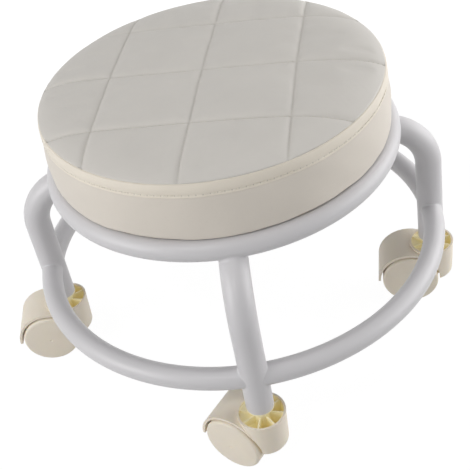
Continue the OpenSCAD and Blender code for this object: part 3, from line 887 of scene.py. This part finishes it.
class STOOL_OT_casters(bpy.types.Operator):
    """Finish the casters and the sockets in the legs"""

    bl_idname = "stool.casters"
    bl_label = "Casters"

    def execute(self, context):
        s = context.scene.stool_caster
        nylon = moulded_nylon("ivory nylon", s.nylon, cups=True)
        wheel = moulded_nylon("wheel nylon", s.nylon)
        for a in LEG_ANGLES:
            paint(nylon, a + "_socket", a + "_caster_body")
            paint(wheel, a + "_wheel_l", a + "_wheel_r")
        return {"FINISHED"}


class STOOL_OT_stage(bpy.types.Operator):
    """Set up the floor, the lights, the surroundings and the camera"""

    bl_idname = "stool.stage"
    bl_label = "Stage"

    def execute(self, context):
        s = context.scene.stool_stage
        scene = context.scene
        scene.view_settings.view_transform = "Standard"
        self.floor()
        self.surroundings(scene, s)
        aim = Vector(s.aim)
        for name, (place, size, share) in LAMPS.items():
            self.lamp(name, aim + Vector(place), aim, size, s.key * share)
        self.camera(scene, s, aim)
        return {"FINISHED"}

    def camera(self, scene, s, aim):
        """A camera at the eye that looks at the aim, tilted about its own axis by the roll."""
        eye = Vector(s.eye)
        back = (eye - aim).normalized()
        level = Vector((0, 0, 1)).cross(back).normalized()
        above = back.cross(level)
        right = math.cos(s.roll) * level + math.sin(s.roll) * above
        up = math.cos(s.roll) * above - math.sin(s.roll) * level
        camera = bpy.data.cameras.new("camera")
        camera.lens = s.lens
        camera.sensor_width = 36
        camera.clip_start = 0.01
        holder = bpy.data.objects.new("camera", camera)
        scene.collection.objects.link(holder)
        turned = Matrix((right, up, back)).transposed().to_4x4()
        holder.matrix_world = Matrix.Translation(eye) @ turned
        scene.camera = holder

    def floor(self):
        """A pale floor, seen as nearly white by the camera and in reflections, with the object's soft
        shadow near the middle and plain white farther out. From below it is clear."""
        half, shadow_share, near, far = 4, 0.14, 0.30, 0.75
        f = Finish("floor", Roughness=0.9)
        f.set(Base_Color=(0.58, 0.58, 0.58))
        direct = f.white_share()
        away = f.node("ShaderNodeVectorMath", {"operation": "LENGTH"}, {0: f.place}, out="Value")
        glow = f.node("ShaderNodeEmission", None, {"Color": (1, 1, 1), "Strength": 1.12})
        share = direct * (1 - shadow_share + away.rise(near, far) * shadow_share)
        seen = f.node("ShaderNodeMixShader", None, {0: share, 2: glow})
        f.tree.links.new(f.shader.outputs[0], seen.socket.node.inputs[1])
        below = f.node("ShaderNodeNewGeometry", out="Backfacing")
        clear = f.node("ShaderNodeBsdfTransparent")
        whole = f.node("ShaderNodeMixShader", None, {0: below * direct, 1: seen, 2: clear})
        f.tree.links.new(whole.socket, f.tree.nodes["Material Output"].inputs[0])
        mesh = bpy.data.meshes.new("floor")
        corners = [(-half, -half, 0), (half, -half, 0), (half, half, 0), (-half, half, 0)]
        mesh.from_pydata(corners, [], [(0, 1, 2, 3)])
        mesh.materials.append(f.material)
        floor = bpy.data.objects.new("floor", mesh)
        bpy.context.scene.collection.objects.link(floor)

    def surroundings(self, scene, s):
        """White for the camera and in reflections, and a softer pale light for the object."""
        world = bpy.data.worlds.new("studio")
        world.use_nodes = True
        scene.world = world
        n = Nodes(world.node_tree)
        pale = n.tree.nodes["Background"]
        n.put(pale, {"Color": (1, 1, 1), "Strength": s.ambient})
        white = n.node("ShaderNodeBackground", None, {"Color": (1, 1, 1), "Strength": 1})
        seen = n.node("ShaderNodeMixShader", None,
                      {0: n.white_share(), 1: Value(n, pale.outputs[0]), 2: white})
        n.tree.links.new(seen.socket, n.tree.nodes["World Output"].inputs[0])

    def lamp(self, name, place, aim, size, power):
        """A soft square light that faces the object."""
        light = bpy.data.lights.new(name, "AREA")
        light.size = size
        light.energy = power
        holder = bpy.data.objects.new(name, light)
        bpy.context.scene.collection.objects.link(holder)
        holder.location = place
        holder.rotation_euler = (aim - place).to_track_quat("-Z", "Y").to_euler()


class STOOL_PT_sidebar(bpy.types.Panel):
    """The stool's settings and steps"""

    bl_idname = "STOOL_PT_sidebar"
    bl_label = "Rolling stool"
    bl_space_type = "VIEW_3D"
    bl_region_type = "UI"
    bl_category = "Rolling stool"

    def draw(self, context):
        for group, steps in (("cushion", ("cushion",)), ("frame", ("underside", "frame")),
                             ("caster", ("casters",)), ("stage", ("stage",))):
            settings = getattr(context.scene, "stool_" + group)
            box = self.layout.box()
            for name in settings.__annotations__:
                box.prop(settings, name)
            for step in steps:
                box.operator("stool." + step)


GROUPS = {"cushion": CushionSettings, "frame": FrameSettings, "caster": CasterSettings,
          "stage": StageSettings}
CLASSES = (*GROUPS.values(), STOOL_OT_cushion, STOOL_OT_underside, STOOL_OT_frame, STOOL_OT_casters,
           STOOL_OT_stage, STOOL_PT_sidebar)


def register():
    """Registers the settings, steps and panel."""
    for cls in CLASSES:
        bpy.utils.register_class(cls)
    for name, group in GROUPS.items():
        setattr(bpy.types.Scene, "stool_" + name, PointerProperty(type=group))


def unregister():
    """Takes the settings, steps and panel away again."""
    for name in GROUPS:
        delattr(bpy.types.Scene, "stool_" + name)
    for cls in reversed(CLASSES):
        bpy.utils.unregister_class(cls)


def main():
    """Runs every step in order."""
    register()
    bpy.ops.stool.cushion()
    bpy.ops.stool.underside()
    bpy.ops.stool.frame()
    bpy.ops.stool.casters()
    bpy.ops.stool.stage()


if __name__ == "__main__":
    main()
